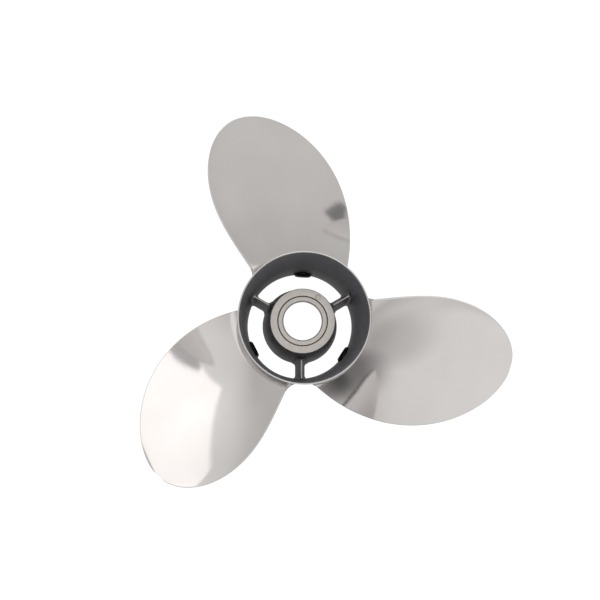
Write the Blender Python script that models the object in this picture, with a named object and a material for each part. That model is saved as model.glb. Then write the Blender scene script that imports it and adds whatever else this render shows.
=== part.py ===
"""Three-blade outboard propeller with an exhaust barrel, built as separate pieces.

Units are metres. +Z runs aft along the shaft, z = 0 is the barrel's front rim,
and angles are counted from +X towards +Y.
"""

import math

import bmesh
import bpy
from mathutils import Matrix, Vector

GAP = 0.0003  # clearance between pieces that touch
BLADES = 3
BLADE_STEP = 2 * math.pi / BLADES

# Blades: a true helical face with straight rake, thickness added on its forward side
TIP_R = 0.174625
ROOT_R = 0.050
PITCH = 0.3302
RAKE = 0.30
ROOT_MID_Z = 0.0515
MID_ANGLE_DEG = (89.4, 27.2, -15.8, 6.2)  # chord middle, powers of u = (r - ROOT_R) / span
HALF_CHORD = (0.0428, 0.0485, 0.0149, -0.0288)  # powers of u, times sqrt(1 - u^2)
ROOT_THICK = 0.0115
TIP_THICK = 0.0028
EDGE_THICK = 0.0013
CUP_HEIGHT = 0.0022  # curl of the trailing edge towards the aft side
CUP_START = 0.75
CHORD_POINTS = 13
SPAN_POINTS = 13
BURIED_U = -0.045  # the loft starts inside the barrel and is cut back to it
LAST_U = 0.9985

# Welded fillet round each blade root
WELD_LEG = 0.0070
WELD_TOE = 0.0006
WELD_SINK = -0.0008  # the bead starts under the barrel's surface and is cut back to it
WELD_NARROWING = 0.5  # share of the leg lost at the leading edge

# Exhaust barrel
BARREL_LENGTH = 0.118
BARREL_FRONT_R = 0.0505
BARREL_FLARE = 0.0040
BARREL_FRONT_BORE_R = 0.0456
BARREL_AFT_BORE_R = 0.0533
BARREL_CHAMFER = 0.0006
BARREL_RINGS = 6

# Inner hub and the ribs that carry it
HUB_FRONT_Z = 0.002
HUB_AFT_Z = 0.077
HUB_FRONT_R = 0.0327
HUB_AFT_R = 0.0272
HUB_CHAMFER = 0.0008
HUB_BORE_FRONT_R = 0.0285
HUB_BORE_AFT_R = 0.0246
HUB_STEP_Z = 0.064
HUB_NECK_R = 0.0210
GROOVE_Z = (0.0050, 0.0066)
GROOVE_DEPTH = 0.0013
PUNCH_R = 0.0239
PUNCH_ANGLE = math.radians(57)
RIB_AFT_Z = 0.045
RIB_FRONT_THICK = 0.0085
RIB_AFT_THICK = 0.0014
RIB_FIRST_ANGLE = math.radians(30)

# Rubber cushion and the drive sleeve inside it
CUSHION_FRONT_Z = 0.0072
SLEEVE_FRONT_Z = 0.004
SLEEVE_FRONT_R = 0.0246
SLEEVE_SHOULDER_R = 0.0213
SLEEVE_SHOULDER_Z = 0.0632
SLEEVE_NECK_R = 0.0206
SLEEVE_FRONT_BORE_R = 0.0219
SLEEVE_AFT_BORE_R = 0.0174
SLEEVE_LIP_R = 0.0161
SLEEVE_LIP_Z = (0.0710, 0.0720)
SLEEVE_MOUTH_R = 0.0171
SLEEVE_MOUTH_DEPTH = 0.0011
DRIVE_SLOTS = 4
DRIVE_SLOT_WIDTH = 0.007
DRIVE_SLOT_DEPTH = 0.008
RING_R = (0.0269, 0.0293)
RING_THICK = 0.0011
RING_OPEN_ANGLE = math.radians(36)

# Snap-in exhaust vent plugs, each with a conical head inside the barrel
VENT_Z = 0.0088
VENT_FIRST_ANGLE = math.radians(86.7)
VENT_HOLE_R = 0.0043
PLUG_STEM_R = 0.0040
PLUG_END_R = 0.0502
PLUG_INNER_R = 0.0433  # distance of the head's flat inner face from the shaft axis
PLUG_BASE_WIDTH = 0.0156
PLUG_FACE_WIDTH = 0.0130


def clear_scene():
    for obj in list(bpy.data.objects):
        bpy.data.objects.remove(obj)


def new_collection(name, hidden=False):
    collection = bpy.data.collections.new(name)
    collection.hide_render = hidden
    bpy.context.scene.collection.children.link(collection)
    return collection


def finish_material(name, color, metallic, roughness):
    material = bpy.data.materials.new(name)
    material.use_nodes = True
    shader = material.node_tree.nodes["Principled BSDF"]
    shader.inputs["Base Color"].default_value = (*color, 1.0)
    shader.inputs["Metallic"].default_value = metallic
    shader.inputs["Roughness"].default_value = roughness
    return material


def add_object(name, bm, collection):
    """A new object that takes over the bmesh, with its faces turned outwards."""
    bmesh.ops.recalc_face_normals(bm, faces=bm.faces)
    mesh = bpy.data.meshes.new(name)
    bm.to_mesh(mesh)
    bm.free()
    mesh.shade_smooth()
    mesh.set_sharp_from_angle(angle=math.radians(35))
    obj = bpy.data.objects.new(name, mesh)
    collection.objects.link(obj)
    return obj


def add_part(name, bm, look):
    obj = add_object(name, bm, PARTS)
    obj.data.materials.append(finish_material(name, *look))
    return obj


def add_cutter(name, bm):
    obj = add_object(name, bm, CUTTERS)
    obj.hide_render = True
    obj.display_type = "WIRE"
    return obj


def cut(obj, tool, operation="DIFFERENCE"):
    modifier = obj.modifiers.new(operation.title() + " " + tool.name, "BOOLEAN")
    modifier.operation = operation
    modifier.solver = "EXACT"
    modifier.object = tool


def lathe(profile, steps, angle=2 * math.pi):
    """A profile of (radius, z) points turned round Z; a closed profile unless it ends on the axis."""
    bm = bmesh.new()
    points = [bm.verts.new((r, 0, z)) for r, z in profile]
    edges = [bm.edges.new(pair) for pair in zip(points, points[1:])]
    if profile[0][0] > 0:
        edges.append(bm.edges.new((points[-1], points[0])))
    full = angle >= 2 * math.pi
    if not full:
        cap = bm.faces.new(points)
        edges = [cap]
    bmesh.ops.spin(
        bm, geom=edges if not full else points + edges, axis=(0, 0, 1), cent=(0, 0, 0),
        angle=angle, steps=steps, use_merge=full, use_duplicate=False,
    )
    bmesh.ops.remove_doubles(bm, verts=bm.verts, dist=1e-7)
    return bm


def loft(rings, closed_path=False):
    """Quads between successive closed rings of points, with a strip cap at each open end."""
    bm = bmesh.new()
    rows = [[bm.verts.new(p) for p in ring] for ring in rings]
    pairs = list(zip(rows, rows[1:]))
    if closed_path:
        pairs.append((rows[-1], rows[0]))
    for row, after in pairs:
        for k in range(len(row)):
            n = (k + 1) % len(row)
            bm.faces.new((row[k], row[n], after[n], after[k]))
    if not closed_path:
        for row in (rows[0], rows[-1]):
            half = len(row) // 2
            for k in range(half - 1):
                bm.faces.new((row[k], row[k + 1], row[-2 - k], row[-1 - k]))
    return bm


def power_sum(coefficients, u):
    return sum(c * u**i for i, c in enumerate(coefficients))


def barrel_r(z):
    """Outer radius of the barrel, which flares gently towards its aft rim."""
    return BARREL_FRONT_R + BARREL_FLARE * (z / BARREL_LENGTH) ** 2


def barrel_bore_r(z):
    return BARREL_FRONT_BORE_R + (BARREL_AFT_BORE_R - BARREL_FRONT_BORE_R) * z / BARREL_LENGTH


def hub_r(z):
    share = (z - HUB_FRONT_Z) / (HUB_AFT_Z - HUB_FRONT_Z)
    return HUB_FRONT_R + (HUB_AFT_R - HUB_FRONT_R) * share


def hub_bore_r(z):
    share = (z - HUB_FRONT_Z) / (HUB_STEP_Z - HUB_FRONT_Z)
    return HUB_BORE_FRONT_R + (HUB_BORE_AFT_R - HUB_BORE_FRONT_R) * share


def sleeve_r(z):
    share = (z - SLEEVE_FRONT_Z) / (SLEEVE_SHOULDER_Z - SLEEVE_FRONT_Z)
    return SLEEVE_FRONT_R + (SLEEVE_SHOULDER_R - SLEEVE_FRONT_R) * share


def blade_skin(r, t, forward):
    """A point of the first blade's skin; t runs from 1 at the leading edge to -1 at the trailing."""
    u = (r - ROOT_R) / (TIP_R - ROOT_R)
    half = power_sum(HALF_CHORD, u) * math.sqrt(max(0.0, 1 - u * u))
    angle = math.radians(power_sum(MID_ANGLE_DEG, u)) - t * half / r
    helix = PITCH / (2 * math.pi)
    z = ROOT_MID_Z + RAKE * (r - ROOT_R) + helix * (angle - math.pi / 2)
    out = Vector((math.cos(angle), math.sin(angle), 0))
    along = Vector((-math.sin(angle), math.cos(angle), 0))
    normal = (Vector((0, 0, 1)) - RAKE * out - helix / r * along).normalized()
    curl = max(0.0, (-t - CUP_START) / (1 - CUP_START)) ** 2
    lift = CUP_HEIGHT * curl * max(0.0, 4 * u * (1 - u))
    if forward:
        thickest = TIP_THICK + (ROOT_THICK - TIP_THICK) * (1 - u) ** 1.3
        lift -= EDGE_THICK + (thickest - EDGE_THICK) * (1 - abs(t) ** 2.2)
    return out * r + Vector((0, 0, z)) + normal * lift


def chord_loop():
    """(t, forward) pairs once round a blade section, closest together at its edges."""
    ts = [math.cos(math.pi * k / (CHORD_POINTS - 1)) for k in range(CHORD_POINTS)]
    return [(t, False) for t in ts] + [(t, True) for t in reversed(ts)]


def blade_mesh():
    us = [BURIED_U, 0.0, 0.03, 0.065]
    us += [math.sin(math.pi / 2 * k / SPAN_POINTS) for k in range(1, SPAN_POINTS)]
    us.append(LAST_U)
    radii = [ROOT_R + u * (TIP_R - ROOT_R) for u in us]
    return loft([[blade_skin(r, t, forward) for t, forward in chord_loop()] for r in radii])


def weld_scale(t):
    """The fillet is smaller round the leading edge, close to the barrel's front rim."""
    return 1 - WELD_NARROWING * max(0.0, t) ** 3


def weld_section():
    """(distance from the blade, height over the barrel) points round a concave fillet."""
    arc = []
    for degrees in (25, 45, 65):
        a = math.radians(degrees)
        arc.append((WELD_LEG * (1 - math.sin(a)), WELD_LEG * (1 - math.cos(a))))
    foot = [(GAP, WELD_SINK), (WELD_LEG, WELD_SINK), (WELD_LEG, WELD_TOE)]
    return foot + arc + [(GAP + WELD_TOE, WELD_LEG), (GAP, WELD_LEG)]


def root_outline(height):
    """The blade's outline at a height over the barrel, unrolled to (arc length, z) points."""
    outline = []
    for t, forward in chord_loop():
        r = ROOT_R
        for _ in range(6):
            point = blade_skin(r, t, forward)
            r += barrel_r(point.z) + height * weld_scale(t) - point.xy.length
        angle = math.atan2(point.y, point.x)
        outline.append(Vector((angle * BARREL_FRONT_R, point.z)))
    return outline


def grown(outline, distance):
    """A closed outline moved outwards along the mean normal at each of its points."""
    ring = outline[-1:] + outline + outline[:1]
    area = sum(a.x * b.y - b.x * a.y for a, b in zip(ring[:-1], ring[1:]))
    turn = 1 if area > 0 else -1
    moved = []
    for k, (t, _) in enumerate(chord_loop()):
        before, here, after = ring[k : k + 3]
        normals = [Vector((d.y, -d.x)).normalized() for d in (here - before, after - here)]
        step = GAP + (distance - GAP) * weld_scale(t)
        moved.append(here + (normals[0] + normals[1]).normalized() * step * turn)
    return moved


def weld_mesh():
    bands = []
    for distance, height in weld_section():
        band = []
        for point, (t, _) in zip(grown(root_outline(height), distance), chord_loop()):
            angle = point.x / BARREL_FRONT_R
            r = barrel_r(point.y) + height * weld_scale(t)
            band.append(Vector((r * math.cos(angle), r * math.sin(angle), point.y)))
        bands.append(band)
    return loft(list(zip(*bands)), closed_path=True)


def barrel_profile():
    top = BARREL_LENGTH
    c = BARREL_CHAMFER
    rings = [c + (top - 2 * c) * k / BARREL_RINGS for k in range(BARREL_RINGS + 1)]
    outer = [(barrel_r(z), z) for z in reversed(rings)]
    inner = [(barrel_bore_r(z), z) for z in (c, top / 3, 2 * top / 3, top - c / 2)]
    return (
        [(barrel_r(top) - c, top)] + outer + [(BARREL_FRONT_R - c, 0)]
        + [(BARREL_FRONT_BORE_R + c, 0)] + inner + [(BARREL_AFT_BORE_R + c / 2, top)]
    )


def hub_profile():
    c = HUB_CHAMFER
    low, high = GROOVE_Z
    return [
        (HUB_AFT_R - c, HUB_AFT_Z),
        (hub_r(HUB_AFT_Z - c), HUB_AFT_Z - c),
        (hub_r(HUB_FRONT_Z + c), HUB_FRONT_Z + c),
        (HUB_FRONT_R - c, HUB_FRONT_Z),
        (HUB_BORE_FRONT_R + c / 2, HUB_FRONT_Z),
        (hub_bore_r(HUB_FRONT_Z + c), HUB_FRONT_Z + c),
        (hub_bore_r(low), low),
        (hub_bore_r(low) + GROOVE_DEPTH, low),
        (hub_bore_r(low) + GROOVE_DEPTH, high),
        (hub_bore_r(high), high),
        (HUB_BORE_AFT_R, HUB_STEP_Z),
        (HUB_NECK_R, HUB_STEP_Z),
        (HUB_NECK_R, HUB_AFT_Z),
    ]


def cushion_profile():
    low = CUSHION_FRONT_Z
    high = HUB_STEP_Z - 2 * GAP
    inner_high = SLEEVE_SHOULDER_Z
    return [
        (hub_bore_r(high) - GAP, high),
        (hub_bore_r(low) - GAP, low),
        (sleeve_r(low) + GAP, low),
        (sleeve_r(inner_high) + GAP, high),
    ]


def sleeve_profile():
    low, high = SLEEVE_LIP_Z
    return [
        (SLEEVE_NECK_R, HUB_AFT_Z),
        (SLEEVE_NECK_R, SLEEVE_SHOULDER_Z),
        (SLEEVE_SHOULDER_R, SLEEVE_SHOULDER_Z),
        (SLEEVE_FRONT_R, SLEEVE_FRONT_Z),
        (SLEEVE_FRONT_BORE_R, SLEEVE_FRONT_Z),
        (SLEEVE_AFT_BORE_R, low),
        (SLEEVE_LIP_R, high),
        (SLEEVE_LIP_R, HUB_AFT_Z - SLEEVE_MOUTH_DEPTH),
        (SLEEVE_MOUTH_R, HUB_AFT_Z),
    ]


def plug_head_profile():
    """A cone about the plug's local Z, which points away from the shaft and starts at its axis."""
    edge = 0.0005
    wall = BARREL_FRONT_BORE_R + 0.0015
    return [
        (0, wall),
        (PLUG_BASE_WIDTH / 2, wall),
        (PLUG_BASE_WIDTH / 2, BARREL_FRONT_BORE_R - 0.0008),
        (PLUG_FACE_WIDTH / 2, PLUG_INNER_R + edge / 2),
        (PLUG_FACE_WIDTH / 2 - edge, PLUG_INNER_R),
        (0, PLUG_INNER_R),
    ]


def plug_stem_profile():
    edge = 0.0005
    return [
        (0, PLUG_END_R),
        (PLUG_STEM_R - edge, PLUG_END_R),
        (PLUG_STEM_R, PLUG_END_R - edge),
        (PLUG_STEM_R, PLUG_INNER_R + 0.001),
        (0, PLUG_INNER_R + 0.001),
    ]


def box_mesh(low, high):
    bm = bmesh.new()
    bmesh.ops.create_cube(bm, size=1)
    size = [b - a for a, b in zip(low, high)]
    middle = [(a + b) / 2 for a, b in zip(low, high)]
    bmesh.ops.scale(bm, vec=size, verts=bm.verts)
    bmesh.ops.translate(bm, vec=middle, verts=bm.verts)
    return bm


def rib_mesh():
    """A radial wall along +X, thick at the front and thin at its aft edge."""
    bm = box_mesh((0.020, -0.5, HUB_FRONT_Z + GAP), (0.060, 0.5, RIB_AFT_Z))
    for vert in bm.verts:
        front = vert.co.z < RIB_AFT_Z / 2
        vert.co.y *= RIB_FRONT_THICK if front else RIB_AFT_THICK
    return bm


def rotate_about_shaft(obj, angle):
    obj.rotation_euler = (0, 0, angle)


def build_barrel():
    barrel = add_part("barrel", lathe(barrel_profile(), 80), STAINLESS)
    for i in range(BLADES):
        angle = VENT_FIRST_ANGLE + i * BLADE_STEP
        bm = bmesh.new()
        bmesh.ops.create_cone(
            bm, cap_ends=True, segments=24, radius1=VENT_HOLE_R, radius2=VENT_HOLE_R,
            depth=0.02,
        )
        tool = add_cutter(f"cut_vent_{i + 1}", bm)
        middle = Vector((BARREL_FRONT_R, 0, 0))
        tool.rotation_euler = (0, math.pi / 2, angle)
        tool.location = Matrix.Rotation(angle, 3, "Z") @ middle + Vector((0, 0, VENT_Z))
        cut(barrel, tool)


def build_blades():
    ends = (-0.02, BARREL_LENGTH + 0.02)
    rings = [ends[0] + (ends[1] - ends[0]) * k / 8 for k in range(9)]
    profile = [(0, ends[1])] + [(barrel_r(z) + GAP, z) for z in reversed(rings)] + [(0, ends[0])]
    trim = add_cutter("cut_blade_root", lathe(profile, 80))
    for i in range(BLADES):
        blade = add_part(f"blade_{i + 1}", blade_mesh(), STAINLESS)
        weld = add_part(f"blade_weld_{i + 1}", weld_mesh(), WELD)
        rotate_about_shaft(blade, i * BLADE_STEP)
        rotate_about_shaft(weld, i * BLADE_STEP)
        cut(blade, trim)
        cut(weld, trim)


def build_inner_hub():
    hub = add_part("inner_hub", lathe(hub_profile(), 64), CAST)
    bm = bmesh.new()
    bmesh.ops.create_cone(bm, cap_ends=True, segments=16, radius1=0, radius2=0.0020, depth=0.002)
    punch = add_cutter("cut_punch_mark", bm)
    punch.location = (
        PUNCH_R * math.cos(PUNCH_ANGLE), PUNCH_R * math.sin(PUNCH_ANGLE), HUB_AFT_Z + 0.0003
    )
    cut(hub, punch)
    passage = [
        (barrel_bore_r(RIB_AFT_Z) - GAP, RIB_AFT_Z + 0.005),
        (BARREL_FRONT_BORE_R - GAP, HUB_FRONT_Z - 0.001),
        (hub_r(HUB_FRONT_Z) + GAP, HUB_FRONT_Z - 0.001),
        (hub_r(RIB_AFT_Z) + GAP, RIB_AFT_Z + 0.005),
    ]
    keep = add_cutter("cut_passage", lathe(passage, 80))
    for i in range(BLADES):
        rib = add_part(f"rib_{i + 1}", rib_mesh(), CAST)
        rotate_about_shaft(rib, RIB_FIRST_ANGLE + i * BLADE_STEP)
        cut(rib, keep, "INTERSECT")


def build_cushion_drive():
    add_part("cushion_bush", lathe(cushion_profile(), 64), RUBBER)
    sleeve = add_part("drive_sleeve", lathe(sleeve_profile(), 64), MACHINED)
    for i in range(DRIVE_SLOTS):
        half = DRIVE_SLOT_WIDTH / 2
        low = (0.015, -half, SLEEVE_FRONT_Z - 0.002)
        high = (0.030, half, SLEEVE_FRONT_Z + DRIVE_SLOT_DEPTH)
        tool = add_cutter(f"cut_drive_slot_{i + 1}", box_mesh(low, high))
        rotate_about_shaft(tool, i * 2 * math.pi / DRIVE_SLOTS)
        cut(sleeve, tool)
    low = (sum(GROOVE_Z) - RING_THICK) / 2
    high = low + RING_THICK
    inner, outer = RING_R
    profile = [(outer, high), (outer, low), (inner, low), (inner, high)]
    ring = add_part(
        "retaining_ring", lathe(profile, 44, 2 * math.pi - RING_OPEN_ANGLE), MACHINED
    )
    rotate_about_shaft(ring, RING_OPEN_ANGLE / 2)


def build_vent_plugs():
    """Heads shaped to the barrel's wall, with a round stem through it. Z of each is its slide axis."""
    low = -0.005
    high = 0.030
    wall = [(0.060, high), (0.060, low), (barrel_bore_r(low) - GAP, low)]
    wall.append((barrel_bore_r(high) - GAP, high))
    trim = add_cutter("cut_plug_seat", lathe(wall, 80))
    for i in range(BLADES):
        angle = VENT_FIRST_ANGLE + i * BLADE_STEP
        plug = add_part(f"vent_plug_{i + 1}", lathe(plug_head_profile(), 28), BLACK_PLASTIC)
        stem = add_cutter(f"add_plug_stem_{i + 1}", lathe(plug_stem_profile(), 24))
        for obj in (plug, stem):
            obj.rotation_euler = (0, math.pi / 2, angle)
            obj.location = (0, 0, VENT_Z)
        cut(plug, trim)
        cut(plug, stem, "UNION")


# Colour, metallic, roughness
STAINLESS = ((0.66, 0.65, 0.64), 1.0, 0.22)
MACHINED = ((0.62, 0.60, 0.57), 1.0, 0.35)
CAST = ((0.16, 0.16, 0.17), 0.6, 0.55)
WELD = ((0.55, 0.54, 0.53), 1.0, 0.45)
RUBBER = ((0.02, 0.02, 0.02), 0.0, 0.80)
BLACK_PLASTIC = ((0.012, 0.012, 0.013), 0.0, 0.45)

clear_scene()
PARTS = new_collection("boat_propeller")
CUTTERS = new_collection("cutters", hidden=True)
build_barrel()
build_blades()
build_inner_hub()
build_cushion_drive()
build_vent_plugs()
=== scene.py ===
"""Looks of the boat propeller: fine meshes, metal finishes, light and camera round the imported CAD.

Units are metres. +Z runs aft along the shaft, as in the CAD, and the first blade points to +Y.
"""

import math

import bmesh
import bpy
from mathutils import Matrix, Vector

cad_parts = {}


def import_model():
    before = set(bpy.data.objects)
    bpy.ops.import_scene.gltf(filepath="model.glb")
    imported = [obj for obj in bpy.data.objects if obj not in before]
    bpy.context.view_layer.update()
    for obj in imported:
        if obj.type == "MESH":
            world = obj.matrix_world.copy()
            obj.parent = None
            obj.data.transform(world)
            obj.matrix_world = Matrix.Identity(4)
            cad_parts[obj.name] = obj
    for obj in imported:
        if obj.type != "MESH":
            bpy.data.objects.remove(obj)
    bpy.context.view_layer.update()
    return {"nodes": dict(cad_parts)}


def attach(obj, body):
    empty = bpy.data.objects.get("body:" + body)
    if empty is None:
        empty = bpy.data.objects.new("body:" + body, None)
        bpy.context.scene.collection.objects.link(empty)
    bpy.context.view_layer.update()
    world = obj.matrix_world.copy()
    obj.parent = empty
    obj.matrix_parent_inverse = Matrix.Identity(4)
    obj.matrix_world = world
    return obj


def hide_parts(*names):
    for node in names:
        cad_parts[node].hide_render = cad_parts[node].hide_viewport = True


BLADES = 3
BLADE_STEP = 2 * math.pi / BLADES

# Blade form, as in the CAD but for the cup, which is lower here, and the relief
TIP_R = 0.174625
ROOT_R = 0.050
PITCH = 0.3302
RAKE = 0.30
ROOT_MID_Z = 0.0515
MID_ANGLE_DEG = (89.4, 27.2, -15.8, 6.2)
HALF_CHORD = (0.0428, 0.0485, 0.0149, -0.0288)
ROOT_THICK = 0.0115
TIP_THICK = 0.0028
EDGE_THICK = 0.0013
THICKNESS_FALL = 1.3  # power of the thickness along the span
SECTION_POWER = 2.2  # power of the thickness across the chord
CUP_HEIGHT = 0.0010
CUP_START = 0.75
RELIEF = 0.0006  # how far the pressure face eases off towards the leading edge
RELIEF_START = 0.4
BLADE_SINK = 0.0006  # how far the blade's root reaches into the barrel wall
SPAN_RINGS = 64
SPAN_END = 0.97  # the last ring's share of the way, short of the pointed end of the form
FACE_POINTS = 40
NOSE_POINTS = 5
OUTLINE_INSET = 0.0005  # keeps the smooth outline within the faceted one

# Root weld
WELD_LEG = 0.0070
WELD_NARROWING = 0.5  # how much smaller the bead is at the leading edge
WELD_SINK = 0.0002
WELD_DEPTH = 0.0006  # less than the barrel wall at its thinnest
WELD_ARC = 10
WELD_STATIONS = 44  # along each face of the blade

# Barrel, hub and sleeve, as in the CAD
BARREL_LENGTH = 0.118
BARREL_FRONT_R = 0.0505
BARREL_FLARE = 0.0040
BARREL_FRONT_BORE_R = 0.0456
BARREL_AFT_BORE_R = 0.0533
RIM_BARE_DEPTH = 0.00003  # the dark skin starts this far below the rim
VENT_Z = 0.0088
VENT_HOLE_R = 0.0043
VENT_FIRST_ANGLE = math.radians(86.7)
VENT_DRILL = (0.048, 0.020)  # its middle's distance from the axis, and its length
HUB_FRONT_Z = 0.002
HUB_AFT_Z = 0.077
HUB_FRONT_R = 0.0327
HUB_AFT_R = 0.0272
HUB_NECK_R = 0.0210
HUB_STEP_Z = 0.064
HUB_BORE_FRONT_R = 0.0285
HUB_BORE_AFT_R = 0.0246
GROOVE_Z = (0.0050, 0.0066)
GROOVE_DEPTH = 0.0013
MARK_PLACE = (0.0239, math.radians(57))  # distance from the axis and angle
MARK_R = 0.0018
MARK_GROOVE_R = 0.0005
SLEEVE_FRONT_Z = 0.004
SLEEVE_NECK_R = 0.0206
SLEEVE_OUTLINE = (  # r, z, rounding
    (SLEEVE_NECK_R, HUB_AFT_Z, 0.0006),
    (SLEEVE_NECK_R, 0.0632, 0),
    (0.0213, 0.0632, 0),
    (0.0246, SLEEVE_FRONT_Z, 0.0003),
    (0.0219, SLEEVE_FRONT_Z, 0.0003),
    (0.0174, 0.0710, 0.0005),
    (0.0161, 0.0720, 0.0002),
    (0.0161, HUB_AFT_Z - 0.0007, 0.0002),
    (0.0171, HUB_AFT_Z, 0.0003),
)
DRIVE_SLOTS = 4
DRIVE_SLOT_WIDTH = 0.007
DRIVE_SLOT_DEPTH = 0.008
DRIVE_SLOT_SPAN = (0.0225, 0.015)  # its middle's distance from the axis, and its length outwards
RIB_FIRST_ANGLE = math.radians(30)
RIB_AFT_Z = 0.045
RIB_FRONT_THICK = 0.0085
RIB_AFT_THICK = 0.0014
RIB_FILLET = 0.0030
RIB_OVERLAP = 0.0002  # into the hub and the barrel
RIB_RAISE = 0.0004  # of its front end above the hub's
RIB_CLIMB = (0.8, 6)  # rise of the crest as a share of the flare, and how late it sets in
RIB_LEVELS = 11
RIB_SECTIONS = 29
RIB_CREST = ((0.9, 0.0004), (0.0, 0.00048), (-0.9, 0.0004))  # share of the half width, rise


# ---------------------------------------------------------------- mesh tools


def new_piece(name, bm, body, replaced, materials, smooth_angle=40):
    """An object from the mesh in bm that rides a body in place of the replaced CAD nodes."""
    bmesh.ops.recalc_face_normals(bm, faces=bm.faces)
    mesh = bpy.data.meshes.new(name)
    bm.to_mesh(mesh)
    bm.free()
    for material in materials:
        mesh.materials.append(material)
    mesh.shade_smooth()
    mesh.set_sharp_from_angle(angle=math.radians(smooth_angle))
    obj = bpy.data.objects.new(name, mesh)
    bpy.context.scene.collection.objects.link(obj)
    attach(obj, body)
    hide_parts(*replaced)
    return obj


def tube(rings, loop=False):
    """Quads between successive closed rings; with loop, the last ring joins the first."""
    bm = bmesh.new()
    rows = [[bm.verts.new(p) for p in ring] for ring in rings]
    pairs = list(zip(rows, rows[1:]))
    if loop:
        pairs.append((rows[-1], rows[0]))
    for row, after in pairs:
        for k in range(len(row)):
            n = (k + 1) % len(row)
            bm.faces.new((row[k], row[n], after[n], after[k]))
    return bm, rows


def rounded(corners, segments=5):
    """A closed (r, z) outline with each corner rounded; corners are (r, z, radius)."""
    points = []
    count = len(corners)
    for k, (r, z, radius) in enumerate(corners):
        here = Vector((r, z))
        back = (Vector(corners[k - 1][:2]) - here).normalized()
        ahead = (Vector(corners[(k + 1) % count][:2]) - here).normalized()
        if radius == 0:
            points.append(here)
            continue
        half_angle = back.angle(ahead) / 2
        reach = radius / math.tan(half_angle)
        centre = here + (back + ahead).normalized() * radius / math.sin(half_angle)
        start = here + back * reach - centre
        turn = start.angle_signed(here + ahead * reach - centre)
        for i in range(segments + 1):
            arm = start.copy()
            arm.rotate(Matrix.Rotation(-turn * i / segments, 2))
            points.append(centre + arm)
    return points


def lathe(outline, steps):
    """A closed (r, z) outline turned round Z."""
    bm = bmesh.new()
    points = [bm.verts.new((p[0], 0, p[1])) for p in outline]
    edges = [bm.edges.new(pair) for pair in zip(points, points[1:] + points[:1])]
    bmesh.ops.spin(
        bm, geom=points + edges, axis=(0, 0, 1), cent=(0, 0, 0), angle=2 * math.pi,
        steps=steps, use_merge=True, use_duplicate=False,
    )
    bmesh.ops.remove_doubles(bm, verts=bm.verts, dist=1e-7)
    return bm


def cut_away(obj, bm):
    """Take the solid in bm out of the object's mesh, and leave no helper behind."""
    bmesh.ops.recalc_face_normals(bm, faces=bm.faces)
    mesh = bpy.data.meshes.new("cutter")
    bm.to_mesh(mesh)
    bm.free()
    tool = bpy.data.objects.new("cutter", mesh)
    bpy.context.scene.collection.objects.link(tool)
    modifier = obj.modifiers.new("cut", "BOOLEAN")
    modifier.operation = "DIFFERENCE"
    modifier.solver = "EXACT"
    modifier.object = tool
    graph = bpy.context.evaluated_depsgraph_get()
    graph.update()
    result = bpy.data.meshes.new_from_object(obj.evaluated_get(graph))
    obj.modifiers.remove(modifier)
    old = obj.data
    obj.data = result
    bpy.data.meshes.remove(old)
    bpy.data.meshes.remove(mesh)
    obj.data.shade_smooth()
    obj.data.set_sharp_from_angle(angle=math.radians(35))


# ---------------------------------------------------------------- forms


def power_sum(coefficients, u):
    return sum(c * u**i for i, c in enumerate(coefficients))


def barrel_r(z):
    return BARREL_FRONT_R + BARREL_FLARE * (z / BARREL_LENGTH) ** 2


def barrel_bore_r(z):
    return BARREL_FRONT_BORE_R + (BARREL_AFT_BORE_R - BARREL_FRONT_BORE_R) * z / BARREL_LENGTH


def hub_r(z):
    share = (z - HUB_FRONT_Z) / (HUB_AFT_Z - HUB_FRONT_Z)
    return HUB_FRONT_R + (HUB_AFT_R - HUB_FRONT_R) * share


def half_chord(r):
    u = (r - ROOT_R) / (TIP_R - ROOT_R)
    return power_sum(HALF_CHORD, u) * math.sqrt(max(0.0, 1 - u * u))


def blade_skin(r, t, forward):
    """A point of the first blade's skin; t is 1 at the leading edge and -1 at the trailing."""
    u = (r - ROOT_R) / (TIP_R - ROOT_R)
    angle = math.radians(power_sum(MID_ANGLE_DEG, u)) - t * half_chord(r) / r
    helix = PITCH / (2 * math.pi)
    z = ROOT_MID_Z + RAKE * (r - ROOT_R) + helix * (angle - math.pi / 2)
    out = Vector((math.cos(angle), math.sin(angle), 0))
    along = Vector((-math.sin(angle), math.cos(angle), 0))
    normal = (Vector((0, 0, 1)) - RAKE * out - helix / r * along).normalized()
    curl = max(0.0, (-t - CUP_START) / (1 - CUP_START)) ** 2
    lift = CUP_HEIGHT * curl * max(0.0, 4 * u * (1 - u))
    lift -= RELIEF * max(0.0, (t - RELIEF_START) / (1 - RELIEF_START)) ** 2
    if forward:
        thickest = TIP_THICK + (ROOT_THICK - TIP_THICK) * (1 - u) ** THICKNESS_FALL
        lift -= EDGE_THICK + (thickest - EDGE_THICK) * (1 - abs(t) ** SECTION_POWER)
    return out * r + Vector((0, 0, z)) + normal * lift


def on_radius(t, forward, wanted):
    """The skin point at t whose distance from the shaft is wanted(z), by repeated correction."""
    r = ROOT_R
    for _ in range(7):
        point = blade_skin(r, t, forward)
        r += wanted(point.z) - point.xy.length
    return blade_skin(r, t, forward)


def spin_copy(points, i):
    turn = Matrix.Rotation(i * BLADE_STEP, 3, "Z")
    return [turn @ p for p in points]


def nose(aft, forward, outwards):
    """Points of a half round from the aft face to the forward face of an edge."""
    centre = (aft + forward) / 2
    arm = (aft - forward) / 2
    points = []
    for k in range(1, NOSE_POINTS + 1):
        a = math.pi * k / (NOSE_POINTS + 1)
        points.append(centre + arm * math.cos(a) + outwards * arm.length * math.sin(a))
    return points


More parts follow.
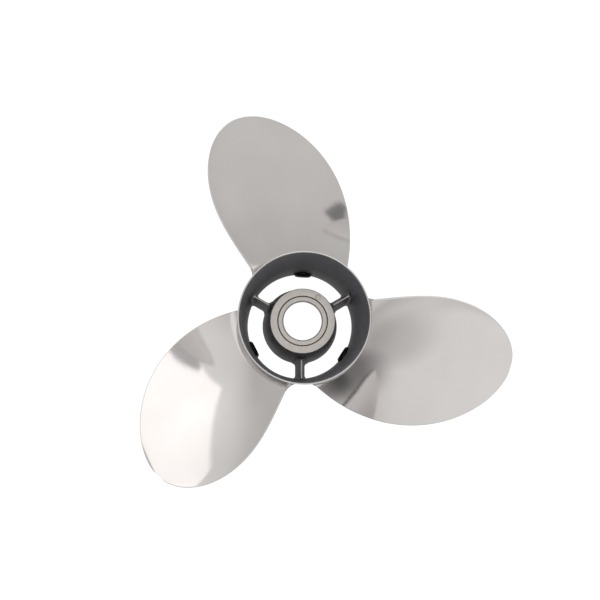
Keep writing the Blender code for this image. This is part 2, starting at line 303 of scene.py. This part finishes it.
def blade_ring(s):
    """One closed section of the blade; s runs from 0 at the barrel to 1 at the tip."""
    share = math.sin(math.pi / 2 * s)

    def wanted(z):
        sunk = barrel_r(z) - BLADE_SINK
        return sunk + (TIP_R - sunk) * share

    r_mid = ROOT_R + (TIP_R - ROOT_R) * share
    edge = 1 - min(0.75, (EDGE_THICK / 2 + OUTLINE_INSET) / half_chord(r_mid))
    ts = [edge * math.cos(math.pi * k / (FACE_POINTS - 1)) for k in range(FACE_POINTS)]
    aft = [on_radius(t, False, wanted) for t in ts]
    forward = [on_radius(t, True, wanted) for t in ts]
    trailing = (aft[-1] - aft[-3]).normalized()
    leading = (aft[0] - aft[2]).normalized()
    ring = aft + nose(aft[-1], forward[-1], trailing)
    return ring + forward[::-1] + nose(forward[0], aft[0], leading)


def cap_blade(bm, row):
    """A strip of quads from edge to edge, because one wide face would cross the barrel's bore."""
    count = len(row)
    middle = 2 * FACE_POINTS + NOSE_POINTS + NOSE_POINTS // 2
    one = [row[(middle + k) % count] for k in range(count // 2 + 1)]
    other = [row[(middle - k) % count] for k in range(count // 2 + 1)]
    for k in range(count // 2):
        corners = (one[k], one[k + 1], other[k + 1], other[k])
        bm.faces.new(list(dict.fromkeys(corners)))


def build_blades(steel):
    rings = [blade_ring(k / SPAN_RINGS * SPAN_END) for k in range(SPAN_RINGS + 1)]
    for i in range(BLADES):
        bm, rows = tube([spin_copy(ring, i) for ring in rings])
        cap_blade(bm, rows[0])
        cap_blade(bm, rows[-1])
        new_piece(
            f"blade_{i + 1}_skin", bm, "propeller", [f"blade_{i + 1}"],
            [steel], 60,
        )


def weld_scale(t):
    return 1 - WELD_NARROWING * max(0.0, t) ** 3


def weld_stations():
    """(t, forward) round the root, dense enough to bend round both edges."""
    ts = [math.cos(math.pi * k / (WELD_STATIONS - 1)) for k in range(WELD_STATIONS)]
    return [(t, False) for t in ts] + [(t, True) for t in ts[::-1]]


def unrolled(height):
    """The blade's outline at a height over the barrel, as (way round the barrel, z)."""
    outline = []
    for t, forward in weld_stations():
        point = on_radius(t, forward, lambda z: barrel_r(z) + height * weld_scale(t))
        outline.append(Vector((math.atan2(point.y, point.x) * BARREL_FRONT_R, point.z)))
    return outline


def grown(outline, distance):
    """The unrolled outline moved outwards by a distance, less where the bead is smaller."""
    ring = outline[-1:] + outline + outline[:1]
    area = sum(a.x * b.y - b.x * a.y for a, b in zip(ring[:-1], ring[1:]))
    turn = 1 if area > 0 else -1
    moved = []
    for k, (t, _) in enumerate(weld_stations()):
        before, here, after = ring[k : k + 3]
        normals = [Vector((d.y, -d.x)).normalized() for d in (here - before, after - here)]
        normal = (normals[0] + normals[1]).normalized()
        moved.append(here + normal * distance * weld_scale(t) * turn)
    return moved


def weld_section():
    """(distance from the blade, height over the barrel) round the bead, its show face first."""
    section = []
    for k in range(WELD_ARC + 1):
        a = math.pi / 2 * k / WELD_ARC
        reach = WELD_LEG + WELD_SINK
        section.append((
            reach * (1 - math.sin(a)) - WELD_SINK,
            reach * (1 - math.cos(a)) - WELD_SINK,
        ))
    depth = WELD_DEPTH
    return section + [(-depth, WELD_LEG), (-depth, -depth), (WELD_LEG, -depth)]


def weld_rings():
    """The bead's section at each station, found as one band per point of the section."""
    bands = []
    for distance, height in weld_section():
        band = []
        for point, (t, _) in zip(grown(unrolled(height), distance), weld_stations()):
            angle = point.x / BARREL_FRONT_R
            r = barrel_r(point.y) + height * weld_scale(t)
            band.append(Vector((r * math.cos(angle), r * math.sin(angle), point.y)))
        bands.append(band)
    return list(zip(*bands))


def build_welds(weld):
    rings = weld_rings()
    for i in range(BLADES):
        bm, _ = tube([spin_copy(ring, i) for ring in rings], loop=True)
        new_piece(
            f"blade_{i + 1}_root_weld", bm, "propeller", [f"blade_weld_{i + 1}"],
            [weld], 60,
        )


def build_barrel(steel, dark):
    top = BARREL_LENGTH
    outer = [(barrel_r(top * k / 12), top * k / 12, 0) for k in range(11, 0, -1)]
    inner = [(barrel_bore_r(top * k / 6), top * k / 6, 0) for k in range(1, 6)]
    corners = [(barrel_r(top), top, 0.0007)] + outer
    corners += [(BARREL_FRONT_R, 0, 0.0009), (BARREL_FRONT_BORE_R, 0, 0.0012)]
    corners += inner + [(BARREL_AFT_BORE_R, top, 0.00015)]
    barrel = new_piece(
        "barrel_skin", lathe(rounded(corners), 160), "propeller", ["barrel"],
        [steel, dark],
    )
    drills = bmesh.new()
    distance, length = VENT_DRILL
    for i in range(BLADES):
        angle = VENT_FIRST_ANGLE + i * BLADE_STEP
        place = Matrix.Rotation(angle, 4, "Z") @ Matrix.Translation((distance, 0, VENT_Z))
        bmesh.ops.create_cone(
            drills, cap_ends=True, segments=40, radius1=VENT_HOLE_R, radius2=VENT_HOLE_R,
            depth=length, matrix=place @ Matrix.Rotation(math.pi / 2, 4, "Y"),
        )
    cut_away(barrel, drills)
    # the bore has the dark skin, up to the aft rim
    for face in barrel.data.polygons:
        z = face.center.z
        wall = (barrel_r(z) + barrel_bore_r(z)) / 2
        inside = face.center.xy.length < wall - 0.0001
        face.material_index = 1 if inside and z < top - RIM_BARE_DEPTH else 0


def hub_bore_r(z):
    share = (z - HUB_FRONT_Z) / (HUB_STEP_Z - HUB_FRONT_Z)
    return HUB_BORE_FRONT_R + (HUB_BORE_AFT_R - HUB_BORE_FRONT_R) * share


def build_hub(dark, turned_and_crest_highlight):
    low, high = GROOVE_Z
    corners = [
        (HUB_AFT_R, HUB_AFT_Z, 0.0005),
        (HUB_FRONT_R, HUB_FRONT_Z, 0.0008),
        (HUB_BORE_FRONT_R, HUB_FRONT_Z, 0.0004),
        (hub_bore_r(low), low, 0.0001),
        (hub_bore_r(low) + GROOVE_DEPTH, low, 0.0001),
        (hub_bore_r(high) + GROOVE_DEPTH, high, 0.0001),
        (hub_bore_r(high), high, 0.0001),
        (HUB_BORE_AFT_R, HUB_STEP_Z, 0),
        (HUB_NECK_R, HUB_STEP_Z, 0),
        (HUB_NECK_R, HUB_AFT_Z, 0.0006),
    ]
    hub = new_piece(
        "inner_hub_skin", lathe(rounded(corners), 128), "propeller", ["inner_hub"],
        [dark, turned_and_crest_highlight],
    )
    turns = [2 * math.pi * k / 12 for k in range(12)]
    groove = [Vector((math.cos(a), math.sin(a))) * MARK_GROOVE_R for a in turns]
    mark = lathe([(MARK_R + p.x, p.y) for p in groove], 36)
    distance, angle = MARK_PLACE
    spot = (distance * math.cos(angle), distance * math.sin(angle), HUB_AFT_Z)
    bmesh.ops.translate(mark, vec=spot, verts=mark.verts)
    cut_away(hub, mark)
    # the aft face is turned, with the ring mark and the rounding at its inner edge
    for face in hub.data.polygons:
        aft = face.center.z > HUB_AFT_Z - 0.0013
        face.material_index = 1 if aft and face.center.xy.length < HUB_AFT_R - 0.0002 else 0


def build_sleeve(turned_and_crest_highlight):
    sleeve = new_piece(
        "drive_sleeve_skin", lathe(rounded(SLEEVE_OUTLINE), 128), "sleeve", ["drive_sleeve"],
        [turned_and_crest_highlight],
    )
    slots = bmesh.new()
    distance, length = DRIVE_SLOT_SPAN
    for i in range(DRIVE_SLOTS):
        size = Matrix.Diagonal((length, DRIVE_SLOT_WIDTH, 2 * DRIVE_SLOT_DEPTH, 1))
        place = Matrix.Translation((distance, 0, SLEEVE_FRONT_Z)) @ size
        turn = Matrix.Rotation(i * 2 * math.pi / DRIVE_SLOTS, 4, "Z")
        bmesh.ops.create_cube(slots, size=1, matrix=turn @ place)
    cut_away(sleeve, slots)


def rib_ring(r_share):
    """One section of a rib across its thickness, at a share of the way from hub to barrel."""
    height = RIB_AFT_Z - HUB_FRONT_Z
    bottom = HUB_FRONT_Z + RIB_RAISE
    climb, lateness = RIB_CLIMB
    levels = [bottom + height * k / (RIB_LEVELS - 1) for k in range(RIB_LEVELS)]

    def at(z, side, rise=0.0):
        inner = hub_r(z) - RIB_OVERLAP
        outer = barrel_bore_r(z) + RIB_OVERLAP
        x = inner + (outer - inner) * r_share
        lack = max(0.0, RIB_FILLET - min(x - inner, outer - x))
        flare = RIB_FILLET - math.sqrt(max(0.0, RIB_FILLET**2 - lack**2))
        share = (z - HUB_FRONT_Z) / height
        half = (RIB_FRONT_THICK + (RIB_AFT_THICK - RIB_FRONT_THICK) * share) / 2
        lift = flare * climb * max(0.0, share) ** lateness
        return Vector((x, side * (half + flare), z + lift + rise))

    ring = [at(z, 1) for z in levels]
    ring += [at(levels[-1], side, rise) for side, rise in RIB_CREST]
    ring += [at(z, -1) for z in levels[::-1]]
    return ring + [at(levels[0], -0.5), at(levels[0], 0.5)]


def build_ribs(dark, turned_and_crest_highlight):
    turns = [math.pi * k / (RIB_SECTIONS - 1) for k in range(RIB_SECTIONS)]
    rings = [rib_ring(0.5 - 0.5 * math.cos(a)) for a in turns]
    for i in range(BLADES):
        turn = Matrix.Rotation(RIB_FIRST_ANGLE + i * BLADE_STEP, 3, "Z")
        bm, rows = tube([[turn @ p for p in ring] for ring in rings])
        bm.faces.new(rows[0])
        bm.faces.new(rows[-1])
        rib = new_piece(
            f"rib_{i + 1}_skin", bm, "propeller", [f"rib_{i + 1}"],
            [dark, turned_and_crest_highlight],
        )
        # the crest, its faces turned towards +Z, takes the lighter turned steel: a painted highlight
        for face in rib.data.polygons:
            face.material_index = 1 if face.normal.z > 0.8 else 0


# ---------------------------------------------------------------- materials


class Finish:
    """A procedural material with a small set of node helpers."""

    def __init__(self, name, metallic, roughness):
        self.material = bpy.data.materials.new(name)
        self.material.use_nodes = True
        self.nodes = self.material.node_tree.nodes
        self.links = self.material.node_tree.links
        self.shader = self.nodes["Principled BSDF"]
        self.shader.inputs["Metallic"].default_value = metallic
        self.shader.inputs["Roughness"].default_value = roughness
        self.place = self.nodes.new("ShaderNodeTexCoord").outputs["Object"]

    def math(self, operation, a, b=0.0):
        node = self.nodes.new("ShaderNodeMath")
        node.operation = operation
        for socket, value in zip(node.inputs, (a, b)):
            self.feed(socket, value)
        return node.outputs[0]

    def feed(self, socket, value):
        if isinstance(value, bpy.types.NodeSocket):
            self.links.new(value, socket)
        else:
            socket.default_value = value

    def around_shaft(self, radial, turn, axial):
        """Coordinates (distance, angle, height) about Z, each times a frequency."""
        split = self.nodes.new("ShaderNodeSeparateXYZ")
        self.links.new(self.place, split.inputs[0])
        x, y, z = split.outputs
        squares = (self.math("MULTIPLY", x, x), self.math("MULTIPLY", y, y))
        distance = self.math("SQRT", self.math("ADD", *squares))
        angle = self.math("ARCTAN2", y, x)
        join = self.nodes.new("ShaderNodeCombineXYZ")
        values = ((distance, radial), (angle, turn), (z, axial))
        for socket, (value, rate) in zip(join.inputs, values):
            self.feed(socket, self.math("MULTIPLY", value, rate))
        return join.outputs[0]

    def noise(self, vector, scale, detail=3.0, rough=0.5):
        node = self.nodes.new("ShaderNodeTexNoise")
        node.inputs["Scale"].default_value = scale
        node.inputs["Detail"].default_value = detail
        node.inputs["Roughness"].default_value = rough
        self.links.new(vector, node.inputs["Vector"])
        return node.outputs["Fac"]

    def spread(self, value, low, high):
        """A noise value, mostly 0.25 to 0.75, mapped to low and high."""
        node = self.nodes.new("ShaderNodeMapRange")
        node.inputs["From Min"].default_value = 0.25
        node.inputs["From Max"].default_value = 0.75
        node.inputs["To Min"].default_value = low
        node.inputs["To Max"].default_value = high
        self.links.new(value, node.inputs["Value"])
        return node.outputs["Result"]

    def blend(self, value, dark, light):
        node = self.nodes.new("ShaderNodeMix")
        node.data_type = "RGBA"
        node.inputs["A"].default_value = (*dark, 1)
        node.inputs["B"].default_value = (*light, 1)
        self.links.new(value, node.inputs["Factor"])
        return node.outputs["Result"]

    def bump(self, height, distance, strength=1.0, under=None):
        node = self.nodes.new("ShaderNodeBump")
        node.inputs["Strength"].default_value = strength
        node.inputs["Distance"].default_value = distance
        self.links.new(height, node.inputs["Height"])
        if under is not None:
            self.links.new(under, node.inputs["Normal"])
        return node.outputs["Normal"]


def steel_finish():
    """Polished stainless steel, slightly wavy, with faint polishing lines round the shaft."""
    roughness = 0.065
    f = Finish("polished_stainless", 1.0, roughness)
    lines = f.noise(f.around_shaft(1.0, 0.012, 1.0), 1400, 3, 0.6)
    cloud = f.noise(f.place, 22, 2)
    colour = f.blend(f.spread(cloud, 0, 1), (0.602, 0.581, 0.574), (0.652, 0.631, 0.624))
    f.links.new(colour, f.shader.inputs["Base Color"])
    streaks = f.spread(lines, roughness - 0.03, roughness + 0.03)
    gloss = f.math("ADD", streaks, f.spread(cloud, -0.02, 0.02))
    f.links.new(gloss, f.shader.inputs["Roughness"])
    waves = f.bump(f.noise(f.place, 38, 2), 0.00002)
    f.links.new(f.bump(lines, 0.000012, 1.0, waves), f.shader.inputs["Normal"])
    return f.material


def weld_finish():
    """Weld metal dressed by hand: short file marks across the bead and a little discolouring."""
    f = Finish("dressed_weld", 1.0, 0.32)
    marks = f.noise(f.around_shaft(0.5, 1.0, 0.5), 520, 4, 0.6)
    lumps = f.noise(f.place, 260, 3)
    cloud = f.noise(f.place, 60, 2)
    colour = f.blend(f.spread(cloud, 0, 1), (0.41, 0.395, 0.385), (0.52, 0.505, 0.50))
    f.links.new(colour, f.shader.inputs["Base Color"])
    f.links.new(f.spread(marks, 0.24, 0.42), f.shader.inputs["Roughness"])
    under = f.bump(lumps, 0.0006, 0.6)
    f.links.new(f.bump(marks, 0.0002, 0.7, under), f.shader.inputs["Normal"])
    return f.material


def dark_finish():
    """The dark casting skin in the exhaust passages, with tool marks round the shaft."""
    f = Finish("dark_casting_skin", 0.0, 0.42)
    grain = f.noise(f.place, 1500, 3)
    cloud = f.noise(f.around_shaft(30, 1.4, 12), 1.0, 3)
    colour = f.blend(f.spread(cloud, 0, 1), (0.115, 0.115, 0.132), (0.225, 0.225, 0.252))
    f.links.new(colour, f.shader.inputs["Base Color"])
    f.shader.inputs["Specular IOR Level"].default_value = 0.3
    f.links.new(f.spread(cloud, 0.36, 0.5), f.shader.inputs["Roughness"])
    marks = f.bump(f.noise(f.around_shaft(0.0, 2.0, 420.0), 1.0, 4, 0.65), 0.00012)
    f.links.new(f.bump(grain, 0.00012, 0.6, marks), f.shader.inputs["Normal"])
    return f.material


def machined_finish():
    """Turned steel: fine rings about the shaft axis and small specks."""
    f = Finish("turned_steel", 1.0, 0.38)
    rings = f.noise(f.around_shaft(1.0, 0.004, 1.0), 2600, 2, 0.5)
    cloud = f.noise(f.place, 260, 5, 0.7)
    colour = f.blend(f.spread(cloud, 0, 1), (0.51, 0.48, 0.452), (0.66, 0.63, 0.602))
    f.links.new(colour, f.shader.inputs["Base Color"])
    f.links.new(f.spread(cloud, 0.34, 0.46), f.shader.inputs["Roughness"])
    f.links.new(f.bump(rings, 0.00006, 0.8), f.shader.inputs["Normal"])
    return f.material


def soft_finish(name, dark, light, roughness, grain_size, grain_depth):
    """Moulded rubber or plastic with a fine grain."""
    f = Finish(name, 0.0, roughness)
    grain = f.noise(f.place, grain_size, 3)
    cloud = f.noise(f.place, 120, 2)
    f.links.new(f.blend(f.spread(cloud, 0, 1), dark, light), f.shader.inputs["Base Color"])
    f.links.new(f.spread(grain, roughness - 0.06, roughness + 0.06), f.shader.inputs["Roughness"])
    f.links.new(f.bump(grain, grain_depth, 0.7), f.shader.inputs["Normal"])
    return f.material


# ---------------------------------------------------------------- stage

CAMERA_PLACE = (-0.0509, -0.0955, 1.4963)
CAMERA_TURN = tuple(math.radians(a) for a in (4.56, -1.95, -0.20))
CAMERA_LENS = 102.1


def add_camera():
    """A view from aft, a few degrees off the shaft axis."""
    data = bpy.data.cameras.new("photo_camera")
    data.lens = CAMERA_LENS
    data.sensor_width = 36
    data.clip_end = 50
    camera = bpy.data.objects.new("photo_camera", data)
    camera.location = CAMERA_PLACE
    camera.rotation_euler = CAMERA_TURN
    bpy.context.scene.collection.objects.link(camera)
    bpy.context.scene.camera = camera


def map_range(tree, value, source, target, smooth=False):
    """A node tree's value mapped from one range to another, and clamped."""
    node = tree.nodes.new("ShaderNodeMapRange")
    if smooth:
        node.interpolation_type = "SMOOTHSTEP"
    for name, number in zip(("From Min", "From Max", "To Min", "To Max"), source + target):
        node.inputs[name].default_value = number
    tree.links.new(value, node.inputs["Value"])
    return node.outputs["Result"]


FLOOR_SEEN = 1.15  # glow to the camera
FLOOR_SHADOW_FADE = ((0.15, 0.36), (0.75, 1.75))  # distances from the axis, and the glow there in reflections: a painted shadow, dimmer near the propeller
FLOOR_GLOW_SHARE = (0.5, 0.9)  # of glow over paint, in reflections and to the camera


def add_floor():
    """A pale floor: near white to the camera, and in reflections dimmer round the propeller, a
    painted shadow in its glow.
    """
    bpy.ops.mesh.primitive_plane_add(size=8, location=(0, 0, -0.0005))
    floor = bpy.context.object
    floor.name = "floor"
    material = bpy.data.materials.new("pale_floor")
    material.use_nodes = True
    tree = material.node_tree
    nodes, links = tree.nodes, tree.links
    paint = nodes["Principled BSDF"]
    paint.inputs["Base Color"].default_value = (0.45, 0.45, 0.45, 1)
    paint.inputs["Roughness"].default_value = 0.9
    seen = nodes.new("ShaderNodeLightPath").outputs["Is Camera Ray"]
    span = nodes.new("ShaderNodeVectorMath")
    span.operation = "LENGTH"
    links.new(nodes.new("ShaderNodeTexCoord").outputs["Object"], span.inputs[0])
    # in reflections the glow fades towards the axis: a painted shadow round the propeller
    reflected = map_range(tree, span.outputs["Value"], *FLOOR_SHADOW_FADE)
    level = nodes.new("ShaderNodeMix")
    level.inputs["B"].default_value = FLOOR_SEEN
    links.new(seen, level.inputs["Factor"])
    links.new(reflected, level.inputs["A"])
    glow = nodes.new("ShaderNodeEmission")
    links.new(level.outputs["Result"], glow.inputs["Strength"])
    mix = nodes.new("ShaderNodeMixShader")
    links.new(map_range(tree, seen, (0.0, 1.0), FLOOR_GLOW_SHARE), mix.inputs["Fac"])
    links.new(paint.outputs["BSDF"], mix.inputs[1])
    links.new(glow.outputs["Emission"], mix.inputs[2])
    links.new(mix.outputs["Shader"], nodes["Material Output"].inputs["Surface"])
    floor.data.materials.append(material)


def towards(azimuth, from_axis):
    """Unit vector; azimuth from +X towards +Y and from_axis from +Z, in degrees."""
    a, p = math.radians(azimuth), math.radians(from_axis)
    return Vector((math.cos(a) * math.sin(p), math.sin(a) * math.sin(p), math.cos(p)))


KEY_DIRECTION = (78.3, 51)  # azimuth and angle from the axis, degrees
KEY_SIZE = (2.85, 1.75)
KEY_RADIANCE = 0.55
KEY_DISTANCE = 3.0
KEY_TARGET = (0, 0, 0.08)


def add_key_panel():
    """A softbox aimed at the propeller."""
    data = bpy.data.lights.new("key_panel", "AREA")
    data.shape = "RECTANGLE"
    data.size, data.size_y = KEY_SIZE
    data.energy = KEY_RADIANCE * math.pi * data.size * data.size_y
    data.color = (1.0, 0.985, 0.965)
    light = bpy.data.objects.new("key_panel", data)
    direction = towards(*KEY_DIRECTION)
    light.location = Vector(KEY_TARGET) + direction * KEY_DISTANCE
    light.rotation_euler = direction.to_track_quat("Z", "Y").to_euler()
    bpy.context.scene.collection.objects.link(light)


# Grey cards out of the camera's view, seen only as crisp patches near the leading edges: the
# blade point each is aimed at, its corners' azimuth and angle from the axis, and its radiance.
GREY_CARDS = (
    (
        "grey_card_1", (0.0275, 0.097, 0.052),
        ((-31.0, 61.8), (-36.5, 57.6), (-39.5, 58.5), (-40.5, 64.8), (-35, 64.3)), 0.27,
    ),
    (
        "grey_card_2", (-0.109, -0.025, 0.054),
        ((70, 59.5), (80, 61.8), (88, 65.8), (86, 67.5), (77, 69.5), (70, 69.5)), 0.60,
    ),
)
CARD_DISTANCE = 2.5


def add_card(name, place, corners, radiance):
    """A glowing polygon that shows only in reflections."""
    mesh = bpy.data.meshes.new(name)
    points = [Vector(place) + towards(*corner) * CARD_DISTANCE for corner in corners]
    mesh.from_pydata(points, [], [range(len(points))])
    card = bpy.data.objects.new(name, mesh)
    bpy.context.scene.collection.objects.link(card)
    card.visible_camera = False
    card.visible_diffuse = False
    material = bpy.data.materials.new(name)
    material.use_nodes = True
    nodes = material.node_tree.nodes
    glow = nodes.new("ShaderNodeEmission")
    glow.inputs["Strength"].default_value = radiance
    material.node_tree.links.new(glow.outputs[0], nodes["Material Output"].inputs["Surface"])
    mesh.materials.append(material)


# Parts of the room lighter or darker than its walls: azimuth, angle from the axis, inner and
# outer radius in degrees, and the factor inside.
ROOM_PATCHES = (
    (-125, 38, 14, 50, 1.28),
    (-88, 87, 3, 13, 1.35),
    (-56, 47, 4, 16, 1.25),
    (88, 70, 14, 36, 1.40),
    (-124, 68, 6, 20, 0.76),
    (-152, 86, 6, 27, 0.35),
    (-170, 88, 4, 18, 0.40),
)
ROOM_LEVELS = ((0.0, 0.75), (0.66, 0.80))  # z of the direction, the walls' level there


def add_world():
    """Soft studio walls as the propeller reflects them, and plain white to the camera."""
    world = bpy.data.worlds.new("studio")
    bpy.context.scene.world = world
    world.use_nodes = True
    tree = world.node_tree
    nodes, links = tree.nodes, tree.links
    direction = nodes.new("ShaderNodeTexCoord").outputs["Generated"]
    split = nodes.new("ShaderNodeSeparateXYZ")
    links.new(direction, split.inputs[0])
    level = map_range(tree, split.outputs["Z"], *ROOM_LEVELS, True)
    for azimuth, from_axis, inner, outer, factor in ROOM_PATCHES:
        dot = nodes.new("ShaderNodeVectorMath")
        dot.operation = "DOT_PRODUCT"
        links.new(direction, dot.inputs[0])
        dot.inputs[1].default_value = towards(azimuth, from_axis)
        nearness = (math.cos(math.radians(outer)), math.cos(math.radians(inner)))
        product = nodes.new("ShaderNodeMath")
        product.operation = "MULTIPLY"
        links.new(level, product.inputs[0])
        patch = map_range(tree, dot.outputs["Value"], nearness, (1.0, factor), True)
        links.new(patch, product.inputs[1])
        level = product.outputs[0]
    room = nodes["Background"]
    room.inputs["Color"].default_value = (1.0, 0.985, 0.97, 1)
    links.new(level, room.inputs["Strength"])
    backdrop = nodes.new("ShaderNodeBackground")
    backdrop.inputs["Color"].default_value = (1, 1, 1, 1)
    mix = nodes.new("ShaderNodeMixShader")
    links.new(nodes.new("ShaderNodeLightPath").outputs["Is Camera Ray"], mix.inputs["Fac"])
    links.new(room.outputs[0], mix.inputs[1])
    links.new(backdrop.outputs[0], mix.inputs[2])
    links.new(mix.outputs[0], nodes["World Output"].inputs["Surface"])


def main():
    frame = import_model()
    steel = steel_finish()
    dark = dark_finish()
    turned_and_crest_highlight = machined_finish()
    rubber = soft_finish("black_rubber", (0.012,) * 3, (0.022,) * 3, 0.75, 900, 0.0001)
    # the vent plugs' near-black plastic: partly their own colour, partly painted shade of the
    # passages' far end
    plastic = soft_finish(
        "black_plastic", (0.006, 0.006, 0.007), (0.011, 0.011, 0.012), 0.5, 1200, 0.00005
    )
    build_blades(steel)
    build_welds(weld_finish())
    build_barrel(steel, dark)
    build_hub(dark, turned_and_crest_highlight)
    build_sleeve(turned_and_crest_highlight)
    build_ribs(dark, turned_and_crest_highlight)
    kept_nodes = {"cushion_bush": rubber, "retaining_ring": turned_and_crest_highlight}
    kept_nodes.update({f"vent_plug_{i + 1}": plastic for i in range(BLADES)})
    for node, material in kept_nodes.items():
        materials = frame["nodes"][node].data.materials
        materials.clear()
        materials.append(material)
    add_camera()
    add_floor()
    add_world()
    add_key_panel()
    for card in GREY_CARDS:
        add_card(*card)
    bpy.context.scene.view_settings.view_transform = "Standard"


main()
